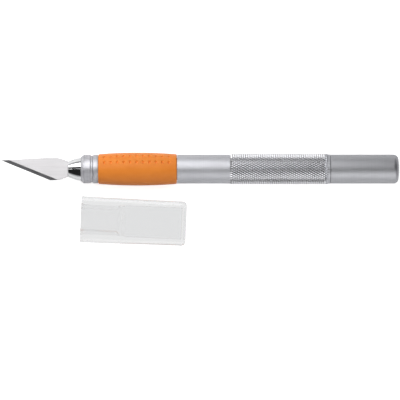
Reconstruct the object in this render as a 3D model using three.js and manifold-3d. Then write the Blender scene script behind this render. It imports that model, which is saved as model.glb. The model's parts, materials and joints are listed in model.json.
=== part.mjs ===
// Hobby craft knife with a soft grip, a rear blade release and a clear safety cap lying beside it.
// Millimetres, +Z up. The knife lies along X with its blade tip at -X and its release knob at +X.
// Each knife piece is drawn in the knife's own frame, where x = 0 is the blade tip and X is the axis.
import * as THREE from 'three';
import { mergeVertices } from 'three/addons/utils/BufferGeometryUtils.js';
import Module from 'manifold-3d';

const wasm = await Module();
wasm.setup();

// ---- Driving dimensions -------------------------------------------------------------------------

const OUTER_SIDES = 40;
const INNER_SIDES = 24;
const CAP_SIDES = 36;
const SEAM = 0.1;                 // axial gap between neighbours that butt together
const GAP = 0.1;                  // radial gap between coaxial pieces, fixed or running

// Stations along the knife's axis
const NOSE_X = 27.6;              // front of the collet jaws
const COLLAR_X = 33;
const TAPER_X = 33.25;            // the cone that closes the jaws runs from here
const TAPER_END_X = 36.2;
const STEM_X = 36.6;              // the collet's straight stem and the collar's thread start here
const GROOVE_X = 37;
const RING_X = 38.05;
const GRIP_X = 40.2;
const BARREL_X = 72.8;
const KNURL_X = 94.6;
const RIM_X = 135.4;
const KNOB_X = 136.2;
const END_X = 164.5;

// Radii
const NOSE_FRONT_R = 3.1;
const NOSE_R = 4.75;
const NOSE_SWELL = 0.25;          // how far the jaws' outline bulges past a straight cone
const COLLAR_R = 5.9;
const SPIGOT_R = 5.2;             // the collar's tail, which the ring sits on
const TAPER_END_R = 3.7;
const GRIP_END_R = 6.2;
const GRIP_BELLY_R = 6.83;
const BARREL_R = 6;
const KNURL_R = 6.24;
const RIM_R = 6.05;
const BARREL_BORE_R = 4.2;
const SPINDLE_R = 4.6;
const COLLET_STEM_R = 3;
const COLLET_TAIL_R = 2;
const DRAWBAR_R = 2;
const DRAWBAR_THREAD_R = 1.45;

// Blade
const BLADE_THICKNESS = 0.5;
const BLADE_EDGE_THICKNESS = 0.04;
const BEVEL_WIDTH = 1.35;
const TANG_HALF_WIDTH = 2.9;
const TANG_X = 28.3;
const TANG_END_X = 41;
const HEEL = new THREE.Vector2(20.4, -4.69);
const TIP = new THREE.Vector2(0, 3.6);

// Clamp and release mechanism
const BLADE_ROLL = THREE.MathUtils.degToRad(-6);
const SLOT_WIDTH = 0.6;
const CROSS_SLOT_WIDTH = 0.5;
const SLOT_END_X = 44;
const KEY_X = 47;
const KEY_R = 0.6;
const COLLET_SHOULDER_X = 50;
const COLLET_TRAVEL = 1;
const GUIDE_BUSH_X = 62;
const GUIDE_BUSH_END_X = 66;
const COLLET_END_X = 70;
const COLLET_THREAD_DEPTH = 10;
const SPINDLE_END_X = 82;
const REAR_BUSH_X = 127;
const CLIP_X = 124.7;
const CLIP_THICKNESS = 0.5;
const DRAWBAR_END_X = 150;
const WASHER_THICKNESS = 0.4;
const THRUST_WASHER_R = 4;
const SPRING_WIRE = 0.5;
const SPRING_R = 2.58;
const SPRING_TURNS = 7;

// Safety cap, in its own frame: x = 0 at the mouth, +X towards the closed end
const CAP_LENGTH = 43.4;
const CAP_MOUTH_WIDTH = 18.9;
const CAP_END_WIDTH = 18.2;
const CAP_THICKNESS = 14.4;
const CAP_EDGE_R = 2.6;
const CAP_BORE_R = 6.1;
const CAP_BORE_DEPTH = 13.2;
const CAP_CHAMBER_HALF_THICKNESS = 3;
const CAP_CHAMBER_X = 16.3;
const CAP_END_WALL = 1.7;
const CAP_MOUTH_AT = new THREE.Vector2(33.1, -20.7);   // mouth centre, from the tip, in plan
const CAP_YAW = THREE.MathUtils.degToRad(-2.5);

// ---- Materials ----------------------------------------------------------------------------------

function finish(color, roughness, metalness) {
  return new THREE.MeshStandardMaterial({ color, roughness, metalness });
}

const aluminium = finish(0xc6c8cc, 0.35, 1);
const chrome = finish(0xe2e4e6, 0.08, 1);
const bladeSteel = finish(0xd0cfd2, 0.3, 1);
const springSteel = finish(0x8d9094, 0.35, 1);
const brass = finish(0xb99a55, 0.35, 1);
const orangeRubber = finish(0xe8803a, 0.6, 0);
const clearPlastic = finish(0xe6e8ea, 0.1, 0);

// ---- Helpers ------------------------------------------------------------------------------------

// Turns a profile of [x, radius] points about the X axis, with a flat facing straight down.
// The profile runs towards +X on the outside; it closes on itself or starts and ends on the axis.
function turned(profile, sides) {
  const points = profile.map(([x, radius]) => new THREE.Vector2(radius, x));
  const geometry = new THREE.LatheGeometry(points, sides);
  geometry.rotateZ(-Math.PI / 2);
  geometry.rotateX(Math.PI / sides);
  return geometry;
}

// A plain sleeve from x0 to x1.
function sleeve(x0, x1, outerR, innerR, sides) {
  return turned([[x0, innerR], [x0, outerR], [x1, outerR], [x1, innerR], [x0, innerR]], sides);
}

// A box given by its lowest and highest corners.
function block(low, high) {
  const size = high.map((value, i) => value - low[i]);
  const middle = high.map((value, i) => (value + low[i]) / 2);
  return new THREE.BoxGeometry(...size).translate(...middle);
}

// Points of an arc as [x, radius] pairs, from one angle to another in degrees.
function arc(centreX, centreR, radius, fromDeg, toDeg, steps) {
  return Array.from({ length: steps + 1 }, (_, i) => {
    const angle = THREE.MathUtils.degToRad(fromDeg + (toDeg - fromDeg) * i / steps);
    return [centreX + radius * Math.cos(angle), centreR + radius * Math.sin(angle)];
  });
}

function toSolid(geometry) {
  const bare = geometry.clone();
  bare.deleteAttribute('normal');
  bare.deleteAttribute('uv');
  const merged = mergeVertices(bare, 1e-4);
  const index = merged.index.array;
  const triangles = [];
  for (let i = 0; i < index.length; i += 3) {
    const [a, b, c] = index.slice(i, i + 3);
    if (a !== b && b !== c && c !== a) triangles.push(a, b, c);
  }
  return new wasm.Manifold(new wasm.Mesh({
    numProp: 3,
    vertProperties: merged.attributes.position.array,
    triVerts: new Uint32Array(triangles),
  }));
}

function toGeometry(solid) {
  const mesh = solid.getMesh();
  const geometry = new THREE.BufferGeometry();
  geometry.setAttribute('position', new THREE.BufferAttribute(new Float32Array(mesh.vertProperties), 3));
  geometry.setIndex(new THREE.BufferAttribute(new Uint32Array(mesh.triVerts), 1));
  geometry.computeVertexNormals();
  return geometry;
}

function cut(geometry, ...cutters) {
  return toGeometry(cutters.reduce((solid, cutter) => solid.subtract(toSolid(cutter)), toSolid(geometry)));
}

// Skins a list of rings that turn right-handedly about the way they advance.
// A joined skin closes on its first ring; an open one gets a flat cap at each end.
function skin(rings, joined) {
  const count = rings[0].length;
  const points = rings.flat();
  const triangles = [];
  const spans = joined ? rings.length : rings.length - 1;
  for (let i = 0; i < spans; i += 1) {
    const near = i * count;
    const far = ((i + 1) % rings.length) * count;
    for (let j = 0; j < count; j += 1) {
      const next = (j + 1) % count;
      triangles.push(near + j, near + next, far + j, near + next, far + next, far + j);
    }
  }
  if (!joined) {
    const last = (rings.length - 1) * count;
    for (let j = 1; j < count - 1; j += 1) {
      triangles.push(0, j + 1, j, last, last + j, last + j + 1);
    }
  }
  const geometry = new THREE.BufferGeometry().setFromPoints(points);
  geometry.setIndex(triangles);
  geometry.computeVertexNormals();
  return geometry;
}

function piece(name, geometry, material) {
  const mesh = new THREE.Mesh(geometry, material);
  mesh.name = name;
  return mesh;
}

// ---- Blade and its clamp ------------------------------------------------------------------------

// The wedge ground off one face beside the cutting edge; side is +1 for the upper face, -1 for the lower.
function bevelCutter(side) {
  const half = BLADE_THICKNESS / 2;
  const edge = BLADE_EDGE_THICKNESS / 2;
  const overrun = 1;
  const slope = (half - edge) / BEVEL_WIDTH;
  const section = new THREE.Shape([
    new THREE.Vector2(-BEVEL_WIDTH, side * half),
    new THREE.Vector2(overrun, side * (edge - slope * overrun)),
    new THREE.Vector2(overrun, side * (half + overrun)),
    new THREE.Vector2(-BEVEL_WIDTH, side * (half + overrun)),
  ]);
  const along = HEEL.clone().sub(TIP);
  const reach = 12;
  const depth = along.length() + 2 * reach;
  const wedge = new THREE.ExtrudeGeometry(section, { depth, bevelEnabled: false });
  wedge.translate(0, 0, reach - depth);
  const forward = new THREE.Vector3(along.x, along.y, 0).normalize();
  const outward = new THREE.Vector3(forward.y, -forward.x, 0);
  const up = new THREE.Vector3(0, 0, 1);
  wedge.applyMatrix4(new THREE.Matrix4().makeBasis(outward, up, forward.negate()));
  wedge.translate(TIP.x, TIP.y, 0);
  return wedge;
}

function bladeGeometry() {
  const corner = 0.6;
  const outline = new THREE.Shape();
  outline.moveTo(TIP.x, TIP.y);
  outline.lineTo(HEEL.x, HEEL.y);
  outline.lineTo(23.8, -4.5);
  outline.quadraticCurveTo(25.2, -4.35, TANG_X, -TANG_HALF_WIDTH);
  outline.lineTo(TANG_END_X - corner, -TANG_HALF_WIDTH);
  outline.lineTo(TANG_END_X, -TANG_HALF_WIDTH + corner);
  outline.lineTo(TANG_END_X, TANG_HALF_WIDTH - corner);
  outline.lineTo(TANG_END_X - corner, TANG_HALF_WIDTH);
  outline.lineTo(TANG_X, TANG_HALF_WIDTH);
  outline.quadraticCurveTo(25.8, 4.2, 23.4, 4.6);
  outline.lineTo(18, 4.62);
  const tangSlot = new THREE.Path();
  const slotR = 1;
  tangSlot.absarc(31, 0, slotR, Math.PI / 2, 3 * Math.PI / 2);
  tangSlot.absarc(37.5, 0, slotR, -Math.PI / 2, Math.PI / 2);
  outline.holes.push(tangSlot);
  const plate = new THREE.ExtrudeGeometry(outline, {
    depth: BLADE_THICKNESS,
    bevelEnabled: false,
    curveSegments: 6,
  });
  plate.translate(0, 0, -BLADE_THICKNESS / 2);
  return cut(plate, bevelCutter(+1), bevelCutter(-1));
}

// A split chuck: domed jaws, a cone that the collar squeezes, a keyed stem and a threaded tail.
function colletGeometry() {
  const curveSteps = 5;
  const noseCurve = Array.from({ length: curveSteps + 1 }, (_, i) => {
    const t = i / curveSteps;
    const swell = NOSE_SWELL * 4 * t * (1 - t);
    const x = THREE.MathUtils.lerp(NOSE_X + 0.2, COLLAR_X, t);
    return [x, THREE.MathUtils.lerp(NOSE_FRONT_R, NOSE_R, t) + swell];
  });
  const body = turned([
    [NOSE_X, 0],
    [NOSE_X, NOSE_FRONT_R - 0.25],
    ...noseCurve,
    [TAPER_X, NOSE_R],
    [TAPER_END_X, TAPER_END_R],
    [STEM_X, COLLET_STEM_R],
    [COLLET_SHOULDER_X, COLLET_STEM_R],
    [COLLET_SHOULDER_X, COLLET_TAIL_R],
    [COLLET_END_X, COLLET_TAIL_R],
    [COLLET_END_X, DRAWBAR_THREAD_R + GAP],
    [COLLET_END_X - COLLET_THREAD_DEPTH, DRAWBAR_THREAD_R + GAP],
    [COLLET_END_X - COLLET_THREAD_DEPTH, 0],
  ], INNER_SIDES);
  const outside = 6;
  const front = NOSE_X - 1;
  const bladeSlot = block(
    [front, -outside, -SLOT_WIDTH / 2],
    [SLOT_END_X, outside, SLOT_WIDTH / 2],
  );
  const crossSlot = block(
    [front, -CROSS_SLOT_WIDTH / 2, -outside],
    [SLOT_END_X, CROSS_SLOT_WIDTH / 2, outside],
  );
  const keyway = block(
    [KEY_X - KEY_R - 0.2, -KEY_R - GAP, 2.1],
    [KEY_X + KEY_R + COLLET_TRAVEL + 0.2, KEY_R + GAP, outside],
  );
  return cut(body, bladeSlot, crossSlot, keyway);
}

// The dowel that keeps the collet from turning; it stands radially in the spindle's wall.
function keyPinGeometry() {
  const foot = 2.35;
  const head = SPINDLE_R - 0.05;
  const pin = new THREE.CylinderGeometry(KEY_R, KEY_R, head - foot, 12);
  pin.rotateX(Math.PI / 2);
  pin.translate(KEY_X, 0, (head + foot) / 2);
  return pin;
}

class Helix extends THREE.Curve {
  constructor(startX, endX, radius, turns) {
    super();
    Object.assign(this, { startX, endX, radius, turns });
  }

  getPoint(t, target = new THREE.Vector3()) {
    const angle = 2 * Math.PI * this.turns * t;
    const x = this.startX + (this.endX - this.startX) * t;
    return target.set(x, this.radius * Math.cos(angle), this.radius * Math.sin(angle));
  }
}

function springGeometry() {
  const wireR = SPRING_WIRE / 2;
  const wire = Array.from({ length: 6 }, (_, i) => {
    const angle = 2 * Math.PI * i / 6;
    return new THREE.Vector2(wireR * Math.cos(angle), wireR * Math.sin(angle));
  });
  const startX = COLLET_SHOULDER_X + WASHER_THICKNESS + 3 * SEAM + wireR;
  const endX = GUIDE_BUSH_X - WASHER_THICKNESS - 3 * SEAM - wireR;
  return new THREE.ExtrudeGeometry(new THREE.Shape(wire), {
    steps: SPRING_TURNS * 12,
    bevelEnabled: false,
    extrudePath: new Helix(startX, endX, SPRING_R, SPRING_TURNS),
  });
}

// ---- Handle -------------------------------------------------------------------------------------

// A chamfered sleeve with the jaws' taper inside its mouth, a groove and a spigot behind.
function noseCollarGeometry() {
  const chamferLength = 1.2;
  const chamferDepth = 0.95;
  const grooveDepth = 0.3;
  const backX = GRIP_X - SEAM;
  return turned([
    [COLLAR_X, NOSE_R + GAP],
    [COLLAR_X, COLLAR_R - chamferDepth],
    [COLLAR_X + chamferLength, COLLAR_R],
    [GROOVE_X, COLLAR_R],
    [GROOVE_X + 0.1, COLLAR_R - grooveDepth],
    [RING_X - SEAM, COLLAR_R - grooveDepth],
    [RING_X - SEAM, SPIGOT_R],
    [backX, SPIGOT_R],
    [backX, SPINDLE_R + GAP],
    [STEM_X, SPINDLE_R + GAP],
    [STEM_X, TAPER_END_R + GAP],
    [TAPER_END_X + GAP, TAPER_END_R + GAP],
    [TAPER_X, NOSE_R + GAP],
    [COLLAR_X, NOSE_R + GAP],
  ], OUTER_SIDES);
}

function noseRingGeometry() {
  const chamfer = 0.2;
  const outerR = COLLAR_R + 0.05;
  const backX = GRIP_X - SEAM;
  return turned([
    [RING_X, SPIGOT_R + GAP],
    [RING_X, outerR - chamfer],
    [RING_X + chamfer, outerR],
    [backX, outerR],
    [backX, SPIGOT_R + GAP],
    [RING_X, SPIGOT_R + GAP],
  ], OUTER_SIDES);
}

// The tube under the grip: it carries the collar in front, screws into the barrel behind,
// guides the collet's stem and takes the return spring.
function spindleGeometry() {
  const frontX = STEM_X + SEAM;
  const stemBore = COLLET_STEM_R + GAP;
  const rearBore = 2.6;
  const chamfer = 0.3;
  const body = turned([
    [frontX, stemBore],
    [frontX, SPINDLE_R - chamfer],
    [frontX + chamfer, SPINDLE_R],
    [SPINDLE_END_X, SPINDLE_R],
    [SPINDLE_END_X, rearBore],
    [GUIDE_BUSH_END_X + SEAM, rearBore],
    [GUIDE_BUSH_END_X + SEAM, stemBore],
    [frontX, stemBore],
  ], INNER_SIDES);
  const pinHole = new THREE.CylinderGeometry(KEY_R + GAP, KEY_R + GAP, SPINDLE_R, 12);
  pinHole.rotateX(Math.PI / 2);
  pinHole.translate(KEY_X, 0, SPINDLE_R);
  pinHole.rotateX(BLADE_ROLL);
  return cut(body, pinHole);
}

// A barrel-shaped rubber sleeve whose outline is one shallow parabola with rounded ends.
function gripGeometry() {
  const steps = 12;
  const lip = 0.3;
  const first = GRIP_X + lip;
  const last = BARREL_X - SEAM - lip;
  const outside = Array.from({ length: steps + 1 }, (_, i) => {
    const t = i / steps;
    return [first + (last - first) * t, GRIP_END_R + (GRIP_BELLY_R - GRIP_END_R) * 4 * t * (1 - t)];
  });
  const bore = SPINDLE_R + GAP;
  return turned([
    [GRIP_X, bore],
    [GRIP_X, GRIP_END_R - lip],
    ...outside,
    [last + lip, GRIP_END_R - lip],
    [last + lip, bore],
    [GRIP_X, bore],
  ], OUTER_SIDES);
}

// A tube with a raised knurled band and a plain rim; its bore is opened out at both ends,
// in front for the spindle's thread and behind for the rear bush.
function barrelGeometry() {
  const wideBore = SPINDLE_R + GAP;
  const chamfer = 0.2;
  const knurlRise = KNURL_R - BARREL_R;
  const endX = KNOB_X - 2 * SEAM;
  return turned([
    [BARREL_X, wideBore],
    [BARREL_X, BARREL_R - chamfer],
    [BARREL_X + chamfer, BARREL_R],
    [KNURL_X, BARREL_R],
    [KNURL_X + knurlRise, KNURL_R],
    [RIM_X - knurlRise, KNURL_R],
    [RIM_X, RIM_R],
    [endX - chamfer, RIM_R],
    [endX, RIM_R - chamfer],
    [endX, wideBore],
    [REAR_BUSH_X - SEAM, wideBore],
    [REAR_BUSH_X - SEAM, BARREL_BORE_R],
    [SPINDLE_END_X + 1, BARREL_BORE_R],
    [SPINDLE_END_X + 1, wideBore],
    [BARREL_X, wideBore],
  ], OUTER_SIDES);
}

// ---- Rear release -------------------------------------------------------------------------------

// The long rod whose front thread pulls the collet back into the collar.
function drawbarGeometry() {
  const frontX = COLLET_END_X - COLLET_THREAD_DEPTH + 1;
  const shoulderX = COLLET_END_X + 0.4;
  const chamfer = 0.25;
  const clipSeatR = DRAWBAR_R - 0.4;
  const clipSeatEnd = CLIP_X + CLIP_THICKNESS + SEAM;
  return turned([
    [frontX, 0],
    [frontX, DRAWBAR_THREAD_R - chamfer],
    [frontX + chamfer, DRAWBAR_THREAD_R],
    [shoulderX, DRAWBAR_THREAD_R],
    [shoulderX, DRAWBAR_R],
    [CLIP_X - SEAM, DRAWBAR_R],
    [CLIP_X - SEAM, clipSeatR],
    [clipSeatEnd, clipSeatR],
    [clipSeatEnd, DRAWBAR_R],
    [DRAWBAR_END_X, DRAWBAR_R],
    [DRAWBAR_END_X, 0],
  ], INNER_SIDES);
}

// A snap ring in the drawbar's groove, open over a sixth of a turn.
function clipGeometry() {
  const opening = Math.PI / 6;
  const innerR = DRAWBAR_R - 0.3;
  const outerR = 3.4;
  const outline = new THREE.Shape();
  outline.absarc(0, 0, outerR, opening, 2 * Math.PI - opening);
  outline.absarc(0, 0, innerR, 2 * Math.PI - opening, opening, true);
  const clip = new THREE.ExtrudeGeometry(outline, {
    depth: CLIP_THICKNESS,
    bevelEnabled: false,
    curveSegments: 20,
  });
  clip.rotateY(Math.PI / 2);
  clip.translate(CLIP_X, 0, 0);
  return clip;
}

// A thin spring washer with three waves, which keeps the knob from working loose.
function waveWasherGeometry() {
  const steps = 36;
  const middleX = CLIP_X + CLIP_THICKNESS + 0.75;
  const halfThickness = 0.1;
  const waveHeight = 0.25;
  const waves = 3;
  const innerR = DRAWBAR_R + 2 * GAP;
  const outerR = THRUST_WASHER_R - 0.2;
  const rings = Array.from({ length: steps }, (_, i) => {
    const angle = 2 * Math.PI * i / steps;
    const x = middleX + waveHeight * Math.sin(waves * angle);
    const radial = new THREE.Vector3(0, -Math.sin(angle), Math.cos(angle));
    const corners = [[1, outerR], [-1, outerR], [-1, innerR], [1, innerR]];
    return corners.map(([side, radius]) => (
      radial.clone().multiplyScalar(radius).setX(x + side * halfThickness)
    ));
  });
  return skin(rings, true);
}

const washer = (x, outerR) => sleeve(x, x + WASHER_THICKNESS, outerR, DRAWBAR_R + GAP, INNER_SIDES);

// A solid end piece with a rounded corner and a crowned end that is flat only in its middle.
// In front, a blind hole holds the drawbar and a shallow recess clears the thrust washer.
function knobGeometry() {
  const chamfer = 0.25;
  const cornerR = 2;
  const crown = 0.15;
  const flatR = 2.4;
  const recessR = THRUST_WASHER_R + 0.2;
  const recessX = KNOB_X + 0.4;
  const holeEnd = DRAWBAR_END_X + SEAM;
  const corner = arc(END_X - cornerR - crown, BARREL_R - cornerR, cornerR, 90, 20, 5);
  return turned([
    [KNOB_X, recessR],
    [KNOB_X, BARREL_R - chamfer],
    [KNOB_X + chamfer, BARREL_R],
    ...corner,
    [END_X, flatR],
    [END_X, 0],
    [holeEnd, 0],
    [holeEnd, DRAWBAR_R + GAP],
    [recessX, DRAWBAR_R + GAP],
    [recessX, recessR],
    [KNOB_X, recessR],
  ], OUTER_SIDES);
}

// ---- Safety cap ---------------------------------------------------------------------------------

// One cross-section: a rectangle with rounded corners, turning right-handedly about +X.
function roundedRing(x, halfWidth, halfHeight, radius) {
  const perCorner = 4;
  const corners = [[1, 1, 0], [-1, 1, 90], [-1, -1, 180], [1, -1, 270]];
  return corners.flatMap(([signY, signZ, fromDeg]) => {
    const centreY = signY * (halfWidth - radius);
    const centreZ = signZ * (halfHeight - radius);
    return arc(centreY, centreZ, radius, fromDeg, fromDeg + 90, perCorner)
      .map(([y, z]) => new THREE.Vector3(x, y, z));
  });
}

// A flattened sleeve with rounded long edges and a closed, rounded end. The bore takes the collar;
// behind a short step it narrows to two flats, which leave room for the blade.
function capGeometry() {
  const endR = 1.6;
  const lip = 0.25;
  const sideAt = (x) => THREE.MathUtils.lerp(CAP_MOUTH_WIDTH, CAP_END_WIDTH, x / CAP_LENGTH) / 2;
  const outsideAt = (x, inset) => roundedRing(
    x,
    sideAt(x) - inset,
    CAP_THICKNESS / 2 - inset,
    CAP_EDGE_R - inset / 2,
  );
  const endRings = arc(CAP_LENGTH - endR, 0, endR, 90, 0, 4).map(([x, rise]) => outsideAt(x, endR - rise));
  const body = skin([outsideAt(0, lip), outsideAt(lip, 0), ...endRings], false);

  const mouthR = CAP_BORE_R + 0.7;
  const mouthDepth = 1.9;
  const innerEnd = CAP_LENGTH - CAP_END_WALL;
  const bore = turned([
    [-1, 0],
    [-1, mouthR],
    [lip, mouthR],
    [mouthDepth, CAP_BORE_R],
    [CAP_BORE_DEPTH, CAP_BORE_R],
    [CAP_CHAMBER_X, CAP_CHAMBER_HALF_THICKNESS],
    [CAP_CHAMBER_X, 0],
  ], CAP_SIDES);
  const core = turned([
    [CAP_BORE_DEPTH - 1, 0],
    [CAP_BORE_DEPTH - 1, CAP_BORE_R - 0.1],
    [innerEnd, CAP_BORE_R - 0.3],
    [innerEnd, 0],
  ], CAP_SIDES);
  const slab = block(
    [0, -CAP_MOUTH_WIDTH, -CAP_CHAMBER_HALF_THICKNESS],
    [CAP_LENGTH, CAP_MOUTH_WIDTH, CAP_CHAMBER_HALF_THICKNESS],
  );
  const hollow = toSolid(bore).add(toSolid(core).intersect(toSolid(slab)));
  return toGeometry(toSolid(body).subtract(hollow));
}

// ---- Assembly -----------------------------------------------------------------------------------

const clampGroup = new THREE.Group();
clampGroup.rotation.x = BLADE_ROLL;
clampGroup.add(
  piece('blade', bladeGeometry(), bladeSteel),
  piece('collet', colletGeometry(), chrome),
  piece('key_pin', keyPinGeometry(), springSteel),
);

const knife = new THREE.Group();
knife.add(
  clampGroup,
  piece('nose_collar', noseCollarGeometry(), aluminium),
  piece('nose_ring', noseRingGeometry(), aluminium),
  piece('front_spindle', spindleGeometry(), aluminium),
  piece('soft_grip', gripGeometry(), orangeRubber),
  piece('barrel', barrelGeometry(), aluminium),
  piece('spring_washer_front', washer(COLLET_SHOULDER_X + SEAM, COLLET_STEM_R), springSteel),
  piece('return_spring', springGeometry(), springSteel),
  piece('spring_washer_rear', washer(GUIDE_BUSH_X - WASHER_THICKNESS - SEAM, COLLET_STEM_R), springSteel),
  piece(
    'guide_bush',
    sleeve(GUIDE_BUSH_X, GUIDE_BUSH_END_X, COLLET_STEM_R + 0.05, COLLET_TAIL_R + GAP, INNER_SIDES),
    brass,
  ),
  piece('drawbar', drawbarGeometry(), springSteel),
  piece('retaining_clip', clipGeometry(), springSteel),
  piece('wave_washer', waveWasherGeometry(), springSteel),
  piece('thrust_washer_front', washer(REAR_BUSH_X - SEAM - WASHER_THICKNESS, THRUST_WASHER_R), springSteel),
  piece(
    'rear_bush',
    sleeve(REAR_BUSH_X, KNOB_X - 3 * SEAM, SPINDLE_R, DRAWBAR_R + GAP, INNER_SIDES),
    brass,
  ),
  piece('thrust_washer_rear', washer(KNOB_X - 1.5 * SEAM, THRUST_WASHER_R), springSteel),
  piece('rear_knob', knobGeometry(), aluminium),
);

// The knife lies on the belly of its grip and the back of its knurl, so its axis dips towards the knob.
const bellyX = (GRIP_X + BARREL_X) / 2;
knife.rotation.y = Math.atan((GRIP_BELLY_R - KNURL_R) / (RIM_X - bellyX));

const cap = new THREE.Group();
cap.add(piece('safety_cap', capGeometry(), clearPlastic));
cap.rotation.z = CAP_YAW;
cap.position.set(CAP_MOUTH_AT.x, CAP_MOUTH_AT.y, 0);

// Stand both on the ground and put the origin under the middle of their common box.
function lowest(group) {
  group.updateMatrixWorld(true);
  return new THREE.Box3().setFromObject(group, true).min.z;
}
knife.position.z = -lowest(knife);
cap.position.z = -lowest(cap);
const craftKnife = new THREE.Group();
craftKnife.add(knife, cap);
craftKnife.updateMatrixWorld(true);
const middle = new THREE.Box3().setFromObject(craftKnife, true).getCenter(new THREE.Vector3());
craftKnife.position.set(-middle.x, -middle.y, 0);

export default craftKnife;
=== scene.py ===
"""Looks for a hobby craft knife that lies beside its clear safety cap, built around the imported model.

Metres, +Z up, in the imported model's frame. The knife's pieces are drawn in the knife's own frame,
where x runs along its axis from the blade's tip to the release knob, and so are their textures.
"""

import json
import math

import bmesh
import bpy
from mathutils import Matrix, Vector

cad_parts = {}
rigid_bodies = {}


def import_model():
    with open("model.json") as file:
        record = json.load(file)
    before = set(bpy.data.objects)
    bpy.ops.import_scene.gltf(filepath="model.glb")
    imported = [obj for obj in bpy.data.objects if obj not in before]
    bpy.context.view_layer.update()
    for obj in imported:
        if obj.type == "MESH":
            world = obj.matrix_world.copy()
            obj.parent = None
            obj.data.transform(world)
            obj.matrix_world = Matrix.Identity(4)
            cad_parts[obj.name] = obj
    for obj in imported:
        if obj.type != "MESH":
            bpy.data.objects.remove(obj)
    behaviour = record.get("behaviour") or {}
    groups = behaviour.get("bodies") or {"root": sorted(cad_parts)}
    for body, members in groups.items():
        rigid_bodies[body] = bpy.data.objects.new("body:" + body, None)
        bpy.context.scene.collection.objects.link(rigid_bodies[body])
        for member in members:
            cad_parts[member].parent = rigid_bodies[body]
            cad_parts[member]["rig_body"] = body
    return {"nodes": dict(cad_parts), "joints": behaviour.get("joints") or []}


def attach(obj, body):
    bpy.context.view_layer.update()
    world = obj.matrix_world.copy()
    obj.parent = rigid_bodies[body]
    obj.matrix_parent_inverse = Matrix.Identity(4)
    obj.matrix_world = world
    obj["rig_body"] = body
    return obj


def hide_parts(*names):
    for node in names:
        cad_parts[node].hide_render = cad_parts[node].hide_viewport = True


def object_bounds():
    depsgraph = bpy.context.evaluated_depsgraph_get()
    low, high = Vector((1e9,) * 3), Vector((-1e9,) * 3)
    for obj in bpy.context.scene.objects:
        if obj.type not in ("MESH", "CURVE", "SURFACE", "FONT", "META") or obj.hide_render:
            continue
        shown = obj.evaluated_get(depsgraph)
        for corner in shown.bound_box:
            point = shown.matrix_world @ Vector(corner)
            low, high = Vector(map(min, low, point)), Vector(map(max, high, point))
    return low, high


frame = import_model()
CAD_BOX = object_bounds()

MM = 0.001
TINY = 0.002 * MM                     # points closer than this are one point
SHARP = math.radians(28)              # a steeper crease is an edge, a flatter one is a curve
SQUARE_EDGE = math.radians(40)        # a steeper crease has its edge broken
SAME_MERIDIAN = 0.02                  # radians
NOISE_SPAN = (0.3, 0.7)               # the part of a noise texture's range that a look is spread over

# Blade and clamp
BLADE_ROLL = math.radians(-6)
BLADE_EDGE_BREAK = 0.03 * MM
BLADE_SEAM = math.radians(0.5)        # two faces closer in angle than this become one
BLADE_CREASE = math.radians(5)        # on the blade, a steeper crease is an edge
BLADE_FLAT_NORMAL = 0.9995            # a flat's normal has more of Z than this in the clamp's frame
BLADE_BEVEL_NORMAL = 0.9              # and a ground bevel's has more than this
BETWEEN_SLOTS = math.radians(45)
SLOT_WIDTH = 0.6 * MM
CROSS_SLOT_WIDTH = 0.75 * MM
SLOT_LENGTH = 16.4 * MM
SLOT_REACH = 8 * MM                   # from the axis, past the outside of the chuck
SLOT_WALL_NORMAL = 0.95               # how squarely a slot's wall faces across it
SLOT_WALL_REACH = 0.51                # share of a slot's width within which its walls are
JAW_EDGE_BREAK = 0.08 * MM

# Turned pieces
TURNED_SIDES = 128
EDGE_BREAK = 0.12 * MM
SEAM_EDGE_BREAK = 0.05 * MM           # where two pieces of one diameter meet
SEAM_CHAMFER = 0.26 * MM
OUTSIDE_R = 5.7 * MM                  # the handle's outer faces are all further out than this

# Knurl
KNURL_AROUND = 38
KNURL_ALONG = 23
KNURL_DEPTH = 0.35 * MM
KNURL_FLAT = 0.31                     # share of a pyramid's width that its worn top takes
KNURL_SHADE_RADII = (5.93 * MM, 6.04 * MM)    # painted shade inside the first, painted bright outside the second
RING_SPLIT = 4                        # how many sides of the plain rings meet one pyramid

# Soft grip
DIMPLE_COLUMNS = 11
DIMPLE_PITCH = 2.655 * MM
FIRST_DIMPLE = 2.6 * MM               # from the grip's front end
DIMPLE_ROWS = [math.radians(a) for a in (65, 38, 245, 218)]
DIMPLE_HALF_LENGTH = 0.50 * MM
DIMPLE_HALF_HEIGHT = 0.74 * MM
DIMPLE_DEPTH = 0.5 * MM
DIMPLE_SHARES = (-1.2, -1.0, -0.85, -0.65, -0.4, 0, 0.4, 0.65, 0.85, 1.0, 1.2)    # of its half size
DIMPLE_MARGIN = math.radians(2)       # between a dimple's vertices and the plain ones
GRIP_SIDES = 72
GRIP_CREASE = math.radians(75)        # on the grip, a steeper crease is an edge

# Safety cap, in its own frame: x = 0 at the mouth
CAP_YAW = math.radians(-2.5)
CAP_END_WIDTH = 18.2 * MM
CAP_EDGE_R = 1.8 * MM
CAP_END_R = 1.6 * MM
CAP_LIP_R = 0.25 * MM
CAP_MOUTH_FLARE = 0.5 * MM
CAP_MOUTH_DEPTH = 1.6 * MM
CAP_BORE_HALF_WIDTH = 6.1 * MM
CAP_BORE_HALF_HEIGHT = 6.1 * MM
CAP_BORE_ARCH = 10 * MM               # radius of the bore's arched top and bottom
CAP_BORE_DEPTH = 14.6 * MM
CAP_CHAMBER_X = 19.6 * MM
CAP_CHAMBER_HALF_WIDTH = 6.6 * MM
CAP_CHAMBER_HALF_HEIGHT = 3.0 * MM
CAP_CHAMBER_ARCH = 60 * MM
CAP_CREASE = math.radians(0.18)       # half the angle that a narrow bevel along the hollow takes
CAP_HOLLOW_END_R = 0.4 * MM
CAP_END_WALL = 1.7 * MM
CAP_TURN_STEP = math.radians(1.25)    # between vertices near the corners, and half of what it is elsewhere
CAP_CORNERS = (math.radians(22), math.radians(50))
CAP_CORNER_STEPS = 24                 # from the side to the hollow's corner
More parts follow.
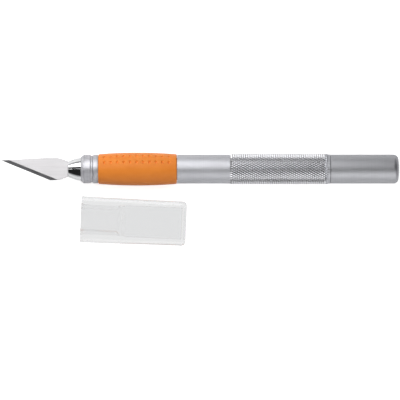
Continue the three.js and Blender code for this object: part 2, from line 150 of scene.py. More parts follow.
CAP_ROUND_RINGS = 8
CAP_SIDE_RINGS = 20
CAP_BORE_RINGS = 6
CAP_SHOULDER_RINGS = 16
CAP_CHAMBER_RINGS = 12

# Floor, light and camera
FLOOR_HALF = 4.0
FLOOR_DROP = 0.02 * MM                # below the object
FLOOR_GLOW = 0.12
FLOOR_SEEN_GLOW = 0.8
FLOOR_BEHIND_PLASTIC = 0.885
WORLD_BEHIND_PLASTIC = 0.80
HORIZON_COLOUR = (0.66, 0.66, 0.665, 1)
OVERHEAD_COLOUR = (0.015, 0.015, 0.015, 1)
OVERHEAD_FROM = 0.3                   # sine of the elevation where the overhead colour is reached
CAP_BOUNCES = 24                      # light bounces many times between the walls of the clear cap
LIGHT_DISTANCE = 0.26
CAMERA_HEIGHT = 1.5
VIEW_WIDTH = 165.4 * MM
VIEW_CENTRE = Vector((0, -0.39 * MM, 7 * MM))


# ---- Frames of reference --------------------------------------------------------------------------

def node_points(node, to_own):
    """A CAD node's vertices in another frame."""
    return [to_own @ v.co for v in frame["nodes"][node].data.vertices]


def knife_frame():
    """From the knife's own frame to the model's."""
    turn = next(j for j in frame["joints"] if j["name"] == "knob_turn")
    along = Vector(turn["axis"]).normalized()
    side = Vector((0, 0, 1)).cross(along).normalized()
    matrix = Matrix((along, side, along.cross(side))).transposed().to_4x4()
    matrix.translation = turn["pos_m"]
    tip = min(p.x for p in node_points("blade", matrix.inverted()))
    return matrix @ Matrix.Translation((tip, 0, 0))


def cap_frame():
    """From the cap's own frame to the model's, with the cap's length, width and thickness."""
    turn = Matrix.Rotation(CAP_YAW, 4, "Z")
    points = node_points("safety_cap", turn.inverted())
    low = [min(p[i] for p in points) for i in range(3)]
    high = [max(p[i] for p in points) for i in range(3)]
    mouth = Vector((low[0], (low[1] + high[1]) / 2, (low[2] + high[2]) / 2))
    return turn @ Matrix.Translation(mouth), [b - a for a, b in zip(low, high)]


KNIFE = knife_frame()
CLAMP = KNIFE @ Matrix.Rotation(BLADE_ROLL, 4, "X")
CAP, CAP_SIZE = cap_frame()


# ---- Mesh helpers ---------------------------------------------------------------------------------

def finish_mesh(name, bm):
    """A shaded mesh from a bmesh: smooth over curves, sharp at creases."""
    bmesh.ops.recalc_face_normals(bm, faces=bm.faces)
    mesh = bpy.data.meshes.new(name)
    bm.to_mesh(mesh)
    bm.free()
    mesh.shade_smooth()
    mesh.set_sharp_from_angle(angle=SHARP)
    return mesh


def add_piece(name, mesh, matrix, materials, node):
    """A piece that stands for one CAD node, and moves with that node's body."""
    piece = bpy.data.objects.new(name, mesh)
    bpy.context.scene.collection.objects.link(piece)
    piece.matrix_world = matrix
    for material in materials:
        mesh.materials.append(material)
    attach(piece, frame["nodes"][node]["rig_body"])
    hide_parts(node)
    return piece


def crease_between_materials(mesh):
    """Makes a sharp edge of every line where two materials meet."""
    bm = bmesh.new()
    bm.from_mesh(mesh)
    for edge in bm.edges:
        if len({face.material_index for face in edge.link_faces}) > 1:
            edge.smooth = False
    bm.to_mesh(mesh)
    bm.free()


def keep_flats_flat(piece):
    """Bends the shading of broken edges, not of the wide faces between them."""
    weighted = piece.modifiers.new("normals", "WEIGHTED_NORMAL")
    weighted.keep_sharp = True


def radius_of(vert):
    """How far a vertex is from the X axis."""
    return math.hypot(vert.co.y, vert.co.z)


def angle_between(vert, angle):
    """How far a vertex is from a direction, as an angle about the X axis."""
    return abs(math.remainder(math.atan2(vert.co.z, vert.co.y) - angle, math.tau))


def outline_of(node, matrix=KNIFE, near=math.pi / 2):
    """The outline that a turned CAD node was spun from, read along its meridian nearest to an angle.

    Returns (x, radius) points in order, and whether they close on themselves.
    """
    bm = bmesh.new()
    bm.from_mesh(frame["nodes"][node].data)
    bm.transform(matrix.inverted())
    bmesh.ops.remove_doubles(bm, verts=bm.verts, dist=TINY)
    widest = max(radius_of(v) for v in bm.verts)
    rim = [v for v in bm.verts if radius_of(v) > widest - TINY]
    lead = min(rim, key=lambda v: angle_between(v, near))
    meridian = math.atan2(lead.co.z, lead.co.y)
    on_it = {v for v in bm.verts if radius_of(v) < TINY or angle_between(v, meridian) < SAME_MERIDIAN}
    links = {v: [e.other_vert(v) for e in v.link_edges if e.other_vert(v) in on_it] for v in on_it}
    ends = [v for v in on_it if len(links[v]) == 1]
    path = [max(ends, key=lambda v: v.co.x) if ends else lead]
    while True:
        onward = [v for v in links[path[-1]] if v not in path]
        if not onward:
            break
        path.append(onward[0])
    outline = [(v.co.x, radius_of(v)) for v in path]
    bm.free()
    return outline, not ends


def softened(outline, edge, closed, steps=4):
    """An outline whose sharp corners are rounded over a short reach and whose shallow ones are
    smoothed away."""
    soft = []
    last = len(outline) - 1
    for i, corner in enumerate(outline):
        if not closed and i in (0, last):
            soft.append(corner)
            continue
        at = Vector(corner)
        back = Vector(outline[i - 1]) - at
        ahead = Vector(outline[0 if i == last else i + 1]) - at
        reach = min(back.length, ahead.length) / 2
        if (-back).angle(ahead) > SHARP:
            reach = min(reach, edge)
        start = at + back.normalized() * reach
        end = at + ahead.normalized() * reach
        for k in range(steps + 1):
            t = k / steps
            point = start.lerp(at, t).lerp(at.lerp(end, t), t)
            if not soft or (point - Vector(soft[-1])).length > TINY:
                soft.append(tuple(point))
    return soft


def squared(outline):
    """An outline whose small outer chamfers are turned back into corners, for a tight seam."""
    points = list(outline)
    for i, ((x, radius), (next_x, next_radius)) in enumerate(zip(outline, outline[1:])):
        run, fall = abs(next_x - x), abs(next_radius - radius)
        small = TINY < run < SEAM_CHAMFER and TINY < fall < SEAM_CHAMFER
        if small and min(radius, next_radius) > OUTSIDE_R:
            corner = (x if radius < next_radius else next_x, max(radius, next_radius))
            points[i] = points[i + 1] = corner
    return list(dict.fromkeys(points))


def even_angles(sides):
    return [math.tau * i / sides for i in range(sides)]


def add_ring(bm, x, angles, radius_at):
    """A ring of vertices about the X axis, or one vertex where its radius is nothing."""
    if radius_at(angles[0]) < TINY:
        return [bm.verts.new((x, 0, 0))]
    return [bm.verts.new((x, radius_at(a) * math.cos(a), radius_at(a) * math.sin(a))) for a in angles]


def join_rings(bm, near, far):
    """The faces between two rings of equal count; a ring of one vertex is a point on the axis."""
    count = max(len(near), len(far))
    for j in range(count):
        k = (j + 1) % count
        corners = near[j % len(near)], near[k % len(near)], far[k % len(far)], far[j % len(far)]
        bm.faces.new(list(dict.fromkeys(corners)))


def spun(outline, angles, closed, dent=None):
    """Spins an outline about the X axis. dent(x, radius, angle) is how far a point is pushed in."""
    bm = bmesh.new()
    rings = []
    for x, radius in outline:
        rings.append(add_ring(bm, x, angles, lambda a: radius - (dent(x, radius, a) if dent else 0)))
    for near, far in zip(rings, rings[1:]):
        join_rings(bm, near, far)
    if closed:
        join_rings(bm, rings[-1], rings[0])
    return bm, rings


def turned_piece(name, node, material, tight_seam=False):
    """A turned CAD node, spun again from its own outline with more sides and broken edges."""
    outline, closed = outline_of(node)
    if tight_seam:
        outline = squared(outline)
    edge = SEAM_EDGE_BREAK if tight_seam else EDGE_BREAK
    bm, _ = spun(softened(outline, edge, closed), even_angles(TURNED_SIDES), closed)
    keep_flats_flat(add_piece(name, finish_mesh(name, bm), KNIFE, [material], node))


# ---- Materials ------------------------------------------------------------------------------------

def new_material(name, **sockets):
    """A Principled material; a keyword such as base_color sets the socket Base Color."""
    material = bpy.data.materials.new(name)
    material.use_nodes = True
    shader = material.node_tree.nodes["Principled BSDF"]
    for key, value in sockets.items():
        socket = next(s for s in shader.inputs if s.name.lower() == key.replace("_", " "))
        socket.default_value = value
    return material


def shader_socket(material, name):
    return material.node_tree.nodes["Principled BSDF"].inputs[name]


def noise(material, scale, detail=2.0, roughness=0.5):
    """Noise in the piece's own frame, with a number of waves a metre for each axis."""
    tree = material.node_tree
    where = tree.nodes.new("ShaderNodeTexCoord")
    stretch = tree.nodes.new("ShaderNodeMapping")
    stretch.inputs["Scale"].default_value = scale
    texture = tree.nodes.new("ShaderNodeTexNoise")
    texture.inputs["Scale"].default_value = 1.0
    texture.inputs["Detail"].default_value = detail
    texture.inputs["Roughness"].default_value = roughness
    tree.links.new(where.outputs["Object"], stretch.inputs["Vector"])
    tree.links.new(stretch.outputs["Vector"], texture.inputs["Vector"])
    return texture.outputs["Fac"]


def distance_from_axis(material):
    """How far a point is from the knife's axis, in metres."""
    tree = material.node_tree
    where = tree.nodes.new("ShaderNodeTexCoord")
    flatten = tree.nodes.new("ShaderNodeVectorMath")
    flatten.operation = "MULTIPLY"
    flatten.inputs[1].default_value = (0, 1, 1)
    length = tree.nodes.new("ShaderNodeVectorMath")
    length.operation = "LENGTH"
    tree.links.new(where.outputs["Object"], flatten.inputs[0])
    tree.links.new(flatten.outputs["Vector"], length.inputs[0])
    return length.outputs["Value"]


def ranged(material, value, source, target):
    """A value mapped from one range to another."""
    tree = material.node_tree
    spread = tree.nodes.new("ShaderNodeMapRange")
    for name, number in zip(("From Min", "From Max", "To Min", "To Max"), (*source, *target)):
        spread.inputs[name].default_value = number
    tree.links.new(value, spread.inputs["Value"])
    return spread.outputs["Result"]


def multiplied(material, first, second):
    tree = material.node_tree
    product = tree.nodes.new("ShaderNodeMath")
    product.operation = "MULTIPLY"
    tree.links.new(first, product.inputs[0])
    tree.links.new(second, product.inputs[1])
    return product.outputs["Value"]


def colour_between(material, value, dark, light):
    """Feeds Base Color with a mix of two colours by a value from 0 to 1."""
    tree = material.node_tree
    mix = tree.nodes.new("ShaderNodeMix")
    mix.data_type = "RGBA"
    mix.inputs[6].default_value = (*dark, 1)
    mix.inputs[7].default_value = (*light, 1)
    tree.links.new(value, mix.inputs["Factor"])
    tree.links.new(mix.outputs[2], shader_socket(material, "Base Color"))


def two_toned(material, grain, dark, light):
    """Feeds Base Color with a mix of two colours by noise."""
    colour_between(material, ranged(material, grain, NOISE_SPAN, (0, 1)), dark, light)


def roughen(material, grain, smooth, rough):
    """Feeds Roughness with a value between two by noise."""
    link = ranged(material, grain, NOISE_SPAN, (smooth, rough))
    material.node_tree.links.new(link, shader_socket(material, "Roughness"))


def bumped(material, height, distance):
    """Feeds Normal with a bump of a height field, over the bump that is already there."""
    tree = material.node_tree
    bump = tree.nodes.new("ShaderNodeBump")
    bump.inputs["Distance"].default_value = distance
    normal = shader_socket(material, "Normal")
    if normal.is_linked:
        tree.links.new(normal.links[0].from_socket, bump.inputs["Normal"])
    tree.links.new(height, bump.inputs["Height"])
    tree.links.new(bump.outputs["Normal"], normal)


def turned_metal(name, dark, light, smooth, rough, waves, ridge):
    """Metal with the fine rings that a lathe tool leaves, closest along the axis."""
    material = new_material(name, metallic=1.0)
    rings = noise(material, (waves, 12, 12), detail=3.0, roughness=0.6)
    two_toned(material, rings, dark, light)
    handled = noise(material, (260, 420, 420), detail=3.0)
    roughen(material, handled, smooth, rough)
    bumped(material, rings, ridge)
    return material


def knurled_metal():
    """The barrel's metal where it is knurled: painted shade darkens the valleys and the worn tops are
    painted bright.
    """
    material = new_material("knurl_aluminium", metallic=1.0)
    # Painted shade: the colour darkens towards the knurl's roots and is painted bright towards its tops.
    valley_shade = ranged(material, distance_from_axis(material), KNURL_SHADE_RADII, (0, 1))
    mottle = noise(material, (500, 500, 500), detail=3.0, roughness=0.6)
    shade = multiplied(material, valley_shade, ranged(material, mottle, NOISE_SPAN, (0.9, 1)))
    colour_between(material, shade, (0.24, 0.24, 0.25), (0.97, 0.97, 1.0))
    roughen(material, mottle, 0.32, 0.40)
    return material


def rubber():
    """Moulded orange rubber with a fine matt grain and a little uneven shine."""
    material = new_material("orange_rubber", specular_ior_level=0.45, sheen_weight=0.32, sheen_roughness=0.5)
    mottle = noise(material, (220, 380, 380), detail=4.0)
    two_toned(material, mottle, (0.95, 0.260, 0.013), (1.0, 0.292, 0.020))
    roughen(material, noise(material, (900, 900, 900), detail=3.0), 0.46, 0.62)
    bumped(material, noise(material, (5200, 5200, 5200), detail=3.0), 0.02 * MM)
    bumped(material, mottle, 0.03 * MM)
    return material


def polished_chrome():
    """Bright plating with faint scuffs, closest along the axis."""
    material = new_material("chrome", metallic=1.0)
    scuffs = noise(material, (900, 300, 300), detail=4.0, roughness=0.65)
    two_toned(material, scuffs, (0.86, 0.87, 0.88), (0.93, 0.94, 0.95))
    roughen(material, scuffs, 0.05, 0.12)
    bumped(material, noise(material, (2500, 500, 500), detail=2.0), 0.001 * MM)
    return material


def ground_steel(name, dark, light, smooth, rough, scale, ridge):
    """Thin blade steel with grinding lines across the axis that has the largest scale."""
    material = new_material(name, metallic=1.0)
    lines = noise(material, scale, detail=4.0, roughness=0.65)
    two_toned(material, lines, dark, light)
    stains = noise(material, (160, 260, 260), detail=3.0)
    roughen(material, stains, smooth, rough)
    bumped(material, lines, ridge)
    return material


def clear_plastic():
    """Clear moulded plastic with faint flow marks."""
    material = new_material(
        "clear_plastic",
        base_color=(0.94, 0.943, 0.946, 1),
        transmission_weight=1.0,
        ior=1.49,
    )
    flow = noise(material, (60, 160, 160), detail=3.0)
    roughen(material, noise(material, (700, 900, 900), detail=3.0), 0.05, 0.09)
    bumped(material, flow, 0.02 * MM)
    return material


def bare_metal(name, dark, light, rough):
    """A machined metal for the pieces inside the handle."""
    material = new_material(name, metallic=1.0)
    grain = noise(material, (1800, 300, 300), detail=3.0)
    two_toned(material, grain, dark, light)
    roughen(material, grain, rough, rough + 0.12)
    bumped(material, grain, 0.004 * MM)
    return material


# ---- Pieces ---------------------------------------------------------------------------------------

def build_blade(flat, bevel):
    """The blade's own faces with its thick edges broken, and its ground bevel as a second material, painted
    darker as shade.
    """
    bm = bmesh.new()
    bm.from_mesh(frame["nodes"]["blade"].data)
    bm.transform(CLAMP.inverted())
    bmesh.ops.remove_doubles(bm, verts=bm.verts, dist=TINY)
    bmesh.ops.dissolve_limit(bm, angle_limit=BLADE_SEAM, verts=bm.verts, edges=bm.edges)

    def on_flat(face):
        return abs(face.normal.z) > BLADE_FLAT_NORMAL

    thick = [
        e for e in bm.edges
        if any(on_flat(f) for f in e.link_faces) and e.calc_face_angle(0) > SQUARE_EDGE
    ]
    bmesh.ops.bevel(
        bm, geom=thick, offset=BLADE_EDGE_BREAK, offset_type="OFFSET", segments=2, profile=0.5,
        affect="EDGES", clamp_overlap=True,
    )
    # Faces tilted like the bevel take the second material, which is painted darker as shade.
    for face in bm.faces:
        face.material_index = int(BLADE_BEVEL_NORMAL < abs(face.normal.z) < BLADE_FLAT_NORMAL)
    mesh = finish_mesh("blade_ground", bm)
    mesh.set_sharp_from_angle(angle=BLADE_CREASE)
    add_piece("blade_ground", mesh, CLAMP, [flat, bevel], "blade")


def box_mesh(name, low, high):
    """A plain box, used only to cut with."""
    bm = bmesh.new()
    bmesh.ops.create_cube(bm, size=1)
    size = [b - a for a, b in zip(low, high)]
    middle = [(a + b) / 2 for a, b in zip(low, high)]
    bm.transform(Matrix.Translation(middle) @ Matrix.Diagonal((*size, 1)))
    return finish_mesh(name, bm)


def carved(mesh, cutters, edge):
    """A mesh with boxes cut out of it and the new edges broken."""
    scene = bpy.context.scene
    solid = bpy.data.objects.new("carving", mesh)
    scene.collection.objects.link(solid)
    tools = []
    for cutter in cutters:
        tool = bpy.data.objects.new("cutter", cutter)
        scene.collection.objects.link(tool)
        tools.append(tool)
        cut = solid.modifiers.new("cut", "BOOLEAN")
        cut.operation = "DIFFERENCE"
        cut.solver = "EXACT"
        cut.object = tool
    breaking = solid.modifiers.new("edges", "BEVEL")
    breaking.width = edge
    breaking.segments = 2
    breaking.limit_method = "ANGLE"
    breaking.angle_limit = SQUARE_EDGE
    bpy.context.view_layer.update()
    graph = bpy.context.evaluated_depsgraph_get()
    result = bpy.data.meshes.new_from_object(solid.evaluated_get(graph))
    for thing in [solid, *tools]:
        bpy.data.objects.remove(thing)
    result.shade_smooth()
    result.set_sharp_from_angle(angle=SHARP)
    return result


def build_collet(polished, slot_shade):
    """The split chuck: its turned body with the blade slot and the cross slot saw-cut through its jaws,
    whose walls carry a near-black painted shade.
    """
    outline, _ = outline_of("collet", CLAMP, BETWEEN_SLOTS)
    front = min(x for x, _ in outline)
    # The end of the outline that isn't on the axis is brought to it, across the front.
    if outline[-1][1] > TINY:
        outline.append((front, 0))
    else:
        outline.insert(0, (front, 0))
    bm, _ = spun(softened(outline, EDGE_BREAK, False), even_angles(TURNED_SIDES), False)
    near, far = front - MM, front + SLOT_LENGTH
    blade, cross = SLOT_WIDTH / 2, CROSS_SLOT_WIDTH / 2
    slots = [
        ((near, -SLOT_REACH, -blade), (far, SLOT_REACH, blade)),
        ((near, -cross, -SLOT_REACH), (far, cross, SLOT_REACH)),
    ]
    cutters = [box_mesh("slot", low, high) for low, high in slots]
    mesh = carved(finish_mesh("collet_polished", bm), cutters, JAW_EDGE_BREAK)
    mesh.name = "collet_polished"

    def is_wall(normal, offset, width):
        return abs(normal) > SLOT_WALL_NORMAL and abs(offset) < SLOT_WALL_REACH * width

    # The slots' walls take the second material, a near-black painted shade for the dark inside of the slots.
    for face in mesh.polygons:
        across_blade = is_wall(face.normal.z, face.center.z, SLOT_WIDTH)
        across_cross = is_wall(face.normal.y, face.center.y, CROSS_SLOT_WIDTH)
        face.material_index = int(across_blade or across_cross)
    keep_flats_flat(add_piece("collet_polished", mesh, CLAMP, [polished, slot_shade], "collet"))


def knurl_point(x, turn, radius):
    """A point on the knurl; turn counts pyramids round."""
    angle = math.tau * turn / KNURL_AROUND
    return Vector((x, radius * math.cos(angle), radius * math.sin(angle)))


def add_knurl(bm, front, back, crest):
    """Fills the space between two plain rings with diamond pyramids whose tops are worn flat.

    Row j of groove crossings stands half a pyramid on from row j - 1 and half a pyramid round. The
    grooves run out level with the ring at the back, and the last pyramids are plain metal.
    """
    start, stop = front[0].co.x, back[0].co.x
    rows = 2 * KNURL_ALONG
    root = crest - KNURL_DEPTH
    last = rows - 1

    def row_x(j):
        return start + (stop - start) * j / rows

    crossings = {}
    for j in range(rows + 1):
        for i in range(KNURL_AROUND):
            if j == 0:
                crossings[j, i] = front[RING_SPLIT * i]
            elif j == rows:
                crossings[j, i] = back[RING_SPLIT * i]
            else:
                radius = radius_of(back[0]) if j == last else root
                crossings[j, i] = bm.verts.new(knurl_point(row_x(j), i + (j % 2) / 2, radius))

    for j in range(1, rows):
        odd = j % 2
        for i in range(KNURL_AROUND):
            centre = i + (0 if odd else 0.5)
            lower = (i - 1) % KNURL_AROUND if odd else i
            upper = i if odd else (i + 1) % KNURL_AROUND
            corners = [crossings[j - 1, i], crossings[j, lower], crossings[j + 1, i], crossings[j, upper]]
            places = [(j - 1, centre), (j, centre - 0.5), (j + 1, centre), (j, centre + 0.5)]
            top = []
            for row, turn in places:
                x = row_x(j) + (row_x(row) - row_x(j)) * KNURL_FLAT
                top.append(bm.verts.new(knurl_point(x, centre + (turn - centre) * KNURL_FLAT, crest)))
            knurled = int(j < last)
            bm.faces.new(top).material_index = knurled
            for k in range(4):
                n = (k + 1) % 4
                bm.faces.new((corners[k], corners[n], top[n], top[k])).material_index = knurled

    for ring, row in ((front, 1), (back, last)):
        for i in range(KNURL_AROUND):
            first = RING_SPLIT * i
            for k in range(first, first + RING_SPLIT):
                face = bm.faces.new((ring[k], ring[(k + 1) % len(ring)], crossings[row, i]))
                face.material_index = int(row < last)


def build_barrel(plain_metal, knurled):
    """The barrel's outline spun everywhere but over its raised band, which is knurled."""
    outline, _ = outline_of("barrel")
    crest = max(radius for _, radius in outline)
    raised = [i for i, (_, radius) in enumerate(outline) if radius > crest - TINY]
    plain = outline[raised[-1] + 1:] + outline[:raised[0]]
    if raised[-1] - raised[0] > 1:
        plain = outline[raised[0] + 1:raised[-1]]
    angles = even_angles(KNURL_AROUND * RING_SPLIT)
    bm, rings = spun(softened(squared(plain), SEAM_EDGE_BREAK, False), angles, False)
    front, back = sorted((rings[0], rings[-1]), key=lambda ring: ring[0].co.x)
    add_knurl(bm, front, back, crest)
    mesh = finish_mesh("barrel_knurled", bm)
    crease_between_materials(mesh)
    piece = add_piece("barrel_knurled", mesh, KNIFE, [plain_metal, knurled], "barrel")
    keep_flats_flat(piece)


def build_grip(material):
    """The grip's outline spun with two rows of moulded dimples on each of two sides."""
    outline, closed = outline_of("soft_grip")
    start = min(x for x, _ in outline)
    columns = [start + FIRST_DIMPLE + DIMPLE_PITCH * i for i in range(DIMPLE_COLUMNS)]
    smooth = softened(outline, 2 * EDGE_BREAK, closed, steps=6)

    # Outside, the outline is cut again so that its rings run through the dimples.
    outside = sorted(p for p in smooth if p[1] > OUTSIDE_R)
    stations = sorted(column + share * DIMPLE_HALF_LENGTH for column in columns for share in DIMPLE_SHARES)

    def radius_at(x):
        low = max(p for p in outside if p[0] <= x)
        high = min(p for p in outside if p[0] > x)
        return low[1] + (high[1] - low[1]) * (x - low[0]) / (high[0] - low[0])

    first = next(i for i, p in enumerate(smooth) if p == outside[0])
    path = smooth[first:] + smooth[:first]
    if path[1][0] < path[-1][0]:
        path = [path[0]] + path[:0:-1]
    kept = [p for p in path if not (stations[0] < p[0] < stations[-1] and p[1] > OUTSIDE_R)]
    place = next(i for i, p in enumerate(kept) if p[0] >= stations[-1] and p[1] > OUTSIDE_R)
    path = kept[:place] + [(x, radius_at(x)) for x in stations] + kept[place:]

    belly = max(radius for _, radius in outline)
    around = DIMPLE_HALF_HEIGHT / belly
    angles = [row + share * around for row in DIMPLE_ROWS for share in DIMPLE_SHARES]
    clear = DIMPLE_SHARES[-1] * around + DIMPLE_MARGIN
    for angle in even_angles(GRIP_SIDES):
        if all(abs(math.remainder(angle - row, math.tau)) > clear for row in DIMPLE_ROWS):
            angles.append(angle)
    angles.sort()

    def dent(x, radius, angle):
        if radius < OUTSIDE_R:
            return 0
        aside = min(abs(x - column) for column in columns) / DIMPLE_HALF_LENGTH
        round_it = min(abs(math.remainder(angle - row, math.tau)) for row in DIMPLE_ROWS) / around
        share = math.hypot(aside, round_it)
        return DIMPLE_DEPTH * (1 - share ** 4) if share < 1 else 0

    bm, _ = spun(path, angles, closed, dent)
    mesh = finish_mesh("grip_rubber", bm)
    mesh.set_sharp_from_angle(angle=GRIP_CREASE)
    add_piece("grip_rubber", mesh, KNIFE, [material], "soft_grip")


def rounded_box_radius(angle, half_width, half_height, corner):
    """How far a rectangle with rounded corners is from its middle, in one direction."""
    ray = Vector((abs(math.cos(angle)), abs(math.sin(angle))))
    if ray.y * half_width <= ray.x * (half_height - corner):
        return half_width / ray.x
    if ray.x * half_height <= ray.y * (half_width - corner):
        return half_height / ray.y
    centre = Vector((half_width - corner, half_height - corner))
    across = ray.dot(centre)
    return across + math.sqrt(across ** 2 - centre.length_squared + corner ** 2)


def stretch_of(start, stop, rings):
    """Even places from just after a start up to a stop."""
    return [start + (stop - start) * i / rings for i in range(1, rings + 1)]


def close_end(bm, rings, shares):
    """Closes the end of a skin with smaller copies of its last ring and a point on the axis."""
    edge = [v.co.copy() for v in rings[-1]]
    for share in shares:
        rings.append([bm.verts.new((co.x, co.y * share, co.z * share)) for co in edge])
    rings.append([bm.verts.new((edge[0].x, 0, 0))])


def build_cap(material):
    """A flattened sleeve, closed at one end. Its bore has straight sides and an arched top and
    bottom, and eases into a flatter chamber."""
    length, width, thickness = CAP_SIZE
    angles = []
    for i in range(int(round(math.tau / CAP_TURN_STEP))):
        angle = i * CAP_TURN_STEP
        fold = abs(math.remainder(angle, math.pi))
        if i % 2 == 0 or CAP_CORNERS[0] < fold < CAP_CORNERS[1]:
            angles.append(angle)
    below_corner = CAP_CORNER_STEPS * CAP_TURN_STEP
    above_corner = below_corner + CAP_TURN_STEP

    def outer_ring(bm, x, inset):
        half_width = (width + (CAP_END_WIDTH - width) * x / length) / 2 - inset
        return add_ring(bm, x, angles, lambda a: rounded_box_radius(
            a, half_width, thickness / 2 - inset, CAP_EDGE_R - inset / 2))

    def section(x):
        """The half width, half height and arch radius of the hollow at x."""
        bore = CAP_BORE_HALF_WIDTH, CAP_BORE_HALF_HEIGHT, CAP_BORE_ARCH
        chamber = CAP_CHAMBER_HALF_WIDTH, CAP_CHAMBER_HALF_HEIGHT, CAP_CHAMBER_ARCH
        share = min(max((x - CAP_BORE_DEPTH) / (CAP_CHAMBER_X - CAP_BORE_DEPTH), 0), 1)
        share *= share * (3 - 2 * share)
        flare = CAP_MOUTH_FLARE * max(1 - x / CAP_MOUTH_DEPTH, 0)
        half_width, half_height, arch = [a + (b - a) * share for a, b in zip(bore, chamber)]
        return half_width + flare, half_height + flare, arch

    def inner_ring(bm, x, inset=0):
        """A ring of the hollow with two vertices at each of its four corners, a bevel apart."""
        half_width, half_height, arch = section(x)
        half_width -= inset
        half_height -= inset
        drop = arch - half_height
        corner = math.atan2(math.sqrt(arch ** 2 - half_width ** 2) - drop, half_width)
        ring = []
        for angle in angles:
            turn = math.remainder(angle, math.pi)
            fold = abs(turn)
            if fold < (below_corner + above_corner) / 2:
                fold *= (corner - CAP_CREASE) / below_corner
                radius = half_width / math.cos(fold)
            else:
                start = corner + CAP_CREASE
                share = (fold - above_corner) / (math.pi / 2 - above_corner)
                fold = start + (math.pi / 2 - start) * share
                radius = math.sqrt(arch ** 2 - (drop * math.cos(fold)) ** 2) - drop * math.sin(fold)
            place = angle - turn + math.copysign(fold, turn)
            ring.append(bm.verts.new((x, radius * math.cos(place), radius * math.sin(place))))
        return ring

    bm = bmesh.new()
    quarter = [math.radians(90 * i / CAP_ROUND_RINGS) for i in range(CAP_ROUND_RINGS + 1)]
    outer = [outer_ring(bm, CAP_LIP_R * (1 - math.cos(a)), CAP_LIP_R * (1 - math.sin(a))) for a in quarter]
    for x in stretch_of(CAP_LIP_R, length - CAP_END_R, CAP_SIDE_RINGS)[:-1]:
        outer.append(outer_ring(bm, x, 0))
    for a in quarter:
        outer.append(outer_ring(bm, length - CAP_END_R * (1 - math.sin(a)), CAP_END_R * (1 - math.cos(a))))
    close_end(bm, outer, (0.75, 0.4))

    back = length - CAP_END_WALL
    steps = [0, CAP_MOUTH_DEPTH]
    steps += stretch_of(CAP_MOUTH_DEPTH, CAP_BORE_DEPTH, CAP_BORE_RINGS)
    steps += stretch_of(CAP_BORE_DEPTH, CAP_CHAMBER_X, CAP_SHOULDER_RINGS)
    steps += stretch_of(CAP_CHAMBER_X, back - CAP_HOLLOW_END_R, CAP_CHAMBER_RINGS)
    inner = [inner_ring(bm, x) for x in steps]
    for a in quarter[1:]:
        x = back - CAP_HOLLOW_END_R * (1 - math.sin(a))
        inner.append(inner_ring(bm, x, CAP_HOLLOW_END_R * (1 - math.cos(a))))
    close_end(bm, inner, (0.7, 0.35))

    for rings in (outer, inner):
        for near, far in zip(rings, rings[1:]):
            join_rings(bm, near, far)
    join_rings(bm, outer[0], inner[0])
    mesh = finish_mesh("cap_clear", bm)
    add_piece("cap_clear", mesh, CAP, [material], "safety_cap")


# ---- Object ---------------------------------------------------------------------------------------

aluminium = turned_metal(
    "turned_aluminium", (0.54, 0.54, 0.57), (0.75, 0.75, 0.79), 0.46, 0.54, waves=1700, ridge=0.006 * MM
)
barrel_aluminium = turned_metal(
    "barrel_aluminium", (0.64, 0.645, 0.68), (0.69, 0.695, 0.73), 0.47, 0.54, waves=2600, ridge=0.003 * MM
)
knob_aluminium = turned_metal(
    "knob_aluminium", (0.585, 0.59, 0.62), (0.635, 0.64, 0.67), 0.46, 0.54, waves=2600, ridge=0.003 * MM
)
blade_flat = ground_steel(
    "blade_flat", (0.505, 0.495, 0.505), (0.565, 0.555, 0.565), 0.34, 0.40, (60, 1600, 60), 0.0005 * MM
)
# The bevel's dark colour is painted shade; its grinding lines are the steel's own.
blade_bevel = ground_steel(
    "blade_bevel", (0.24, 0.24, 0.25), (0.34, 0.34, 0.355), 0.30, 0.38, (2600, 90, 90), 0.002 * MM
)

build_blade(blade_flat, blade_bevel)
# The chuck's slot walls are near black: painted shade, not the steel's own colour.
build_collet(polished_chrome(), bare_metal("slot_wall_shade", (0.05, 0.05, 0.05), (0.12, 0.12, 0.12), 0.55))
turned_piece("collar_turned", "nose_collar", aluminium)
turned_piece("ring_turned", "nose_ring", aluminium)
build_grip(rubber())
build_barrel(barrel_aluminium, knurled_metal())
turned_piece("knob_turned", "rear_knob", knob_aluminium, tight_seam=True)
build_cap(clear_plastic())

steel = bare_metal("spring_steel", (0.30, 0.31, 0.32), (0.42, 0.43, 0.44), 0.30)
brass = bare_metal("brass", (0.60, 0.42, 0.16), (0.72, 0.53, 0.22), 0.28)
inner_aluminium = bare_metal("inner_aluminium", (0.52, 0.52, 0.54), (0.66, 0.66, 0.68), 0.32)
INSIDE = {
    "front_spindle": inner_aluminium,
    "key_pin": steel,
    "spring_washer_front": steel,
    "return_spring": steel,
    "spring_washer_rear": steel,
    "guide_bush": brass,
    "drawbar": steel,
    "retaining_clip": steel,
    "wave_washer": steel,
    "thrust_washer_front": steel,
    "rear_bush": brass,
    "thrust_washer_rear": steel,
}
for node, material in INSIDE.items():
    carried = frame["nodes"][node]
    carried.data.materials.clear()
    carried.data.materials.append(material)


# ---- Floor, light and camera ----------------------------------------------------------------------

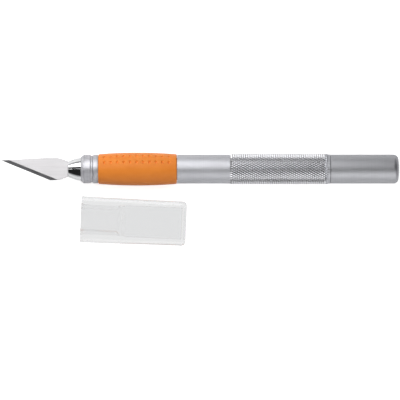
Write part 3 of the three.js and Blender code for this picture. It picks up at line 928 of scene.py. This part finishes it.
def build_floor():
    """A pale floor, seen a little brighter than it lights the object, as a lit table is."""
    bm = bmesh.new()
    bmesh.ops.create_grid(bm, x_segments=1, y_segments=1, size=FLOOR_HALF)
    mesh = bpy.data.meshes.new("floor")
    bm.to_mesh(mesh)
    bm.free()
    floor = bpy.data.objects.new("floor", mesh)
    bpy.context.scene.collection.objects.link(floor)
    floor.location.z = CAD_BOX[0].z - FLOOR_DROP
    material = new_material("floor", roughness=0.9, specular_ior_level=0.1)
    tree = material.node_tree
    path = tree.nodes.new("ShaderNodeLightPath")
    through = path.outputs["Is Transmission Ray"]
    glow = tree.nodes.new("ShaderNodeMath")
    glow.operation = "MULTIPLY_ADD"
    tree.links.new(path.outputs["Is Camera Ray"], glow.inputs[0])
    glow.inputs[1].default_value = FLOOR_SEEN_GLOW - FLOOR_GLOW
    tree.links.new(ranged(material, through, (0, 1), (FLOOR_GLOW, FLOOR_BEHIND_PLASTIC)), glow.inputs[2])
    colour_between(material, through, (0.86, 0.86, 0.86), (0, 0, 0))
    shader_socket(material, "Emission Color").default_value = (1, 1, 1, 1)
    tree.links.new(glow.outputs["Value"], shader_socket(material, "Emission Strength"))
    mesh.materials.append(material)


def softbox(name, ends, angle, spread, radiance):
    """A rectangle of light along X between two ends, at an angle from overhead towards +Y."""
    light = bpy.data.lights.new(name, "AREA")
    light.shape = "RECTANGLE"
    light.size = ends[1] - ends[0]
    light.size_y = 2 * LIGHT_DISTANCE * math.tan(spread / 2)
    light.energy = radiance * math.pi * light.size * light.size_y
    lamp = bpy.data.objects.new(name, light)
    bpy.context.scene.collection.objects.link(lamp)
    lamp.location = (sum(ends) / 2, LIGHT_DISTANCE * math.sin(angle), LIGHT_DISTANCE * math.cos(angle))
    lamp.rotation_euler = (-angle, 0, 0)
    lamp.visible_camera = False
    lamp.visible_transmission = False


def build_world():
    """A studio that is dim overhead and pale towards the horizon."""
    world = bpy.data.worlds.new("studio")
    bpy.context.scene.world = world
    world.use_nodes = True
    tree = world.node_tree
    where = tree.nodes.new("ShaderNodeTexCoord")
    split = tree.nodes.new("ShaderNodeSeparateXYZ")
    ramp = tree.nodes.new("ShaderNodeValToRGB")
    ramp.color_ramp.elements[0].position = 0.0
    ramp.color_ramp.elements[0].color = HORIZON_COLOUR
    ramp.color_ramp.elements[1].position = OVERHEAD_FROM
    ramp.color_ramp.elements[1].color = OVERHEAD_COLOUR
    tree.links.new(where.outputs["Generated"], split.inputs["Vector"])
    tree.links.new(split.outputs["Z"], ramp.inputs["Fac"])
    path = tree.nodes.new("ShaderNodeLightPath")
    behind = tree.nodes.new("ShaderNodeMix")
    behind.data_type = "RGBA"
    behind.inputs[7].default_value = (*[WORLD_BEHIND_PLASTIC] * 3, 1)
    tree.links.new(path.outputs["Is Transmission Ray"], behind.inputs["Factor"])
    tree.links.new(ramp.outputs["Color"], behind.inputs[6])
    tree.links.new(behind.outputs[2], tree.nodes["Background"].inputs["Color"])


def build_camera():
    """Straight above, through a long lens."""
    data = bpy.data.cameras.new("camera")
    data.sensor_width = 36
    data.lens = data.sensor_width * CAMERA_HEIGHT / VIEW_WIDTH
    data.clip_start = 0.05
    data.clip_end = 20
    camera = bpy.data.objects.new("camera", data)
    bpy.context.scene.collection.objects.link(camera)
    camera.location = VIEW_CENTRE + Vector((0, 0, CAMERA_HEIGHT))
    bpy.context.scene.camera = camera


build_floor()
build_world()
softbox("key", ends=(-0.54, 0.042), angle=math.radians(38), spread=math.radians(60), radiance=2.16)
softbox("fill", ends=(-0.08, 0.35), angle=math.radians(-47), spread=math.radians(46), radiance=1.2)
build_camera()
bpy.context.scene.view_settings.view_transform = "Standard"
light_paths = bpy.context.scene.cycles
light_paths.max_bounces = CAP_BOUNCES
light_paths.glossy_bounces = CAP_BOUNCES
light_paths.transmission_bounces = CAP_BOUNCES
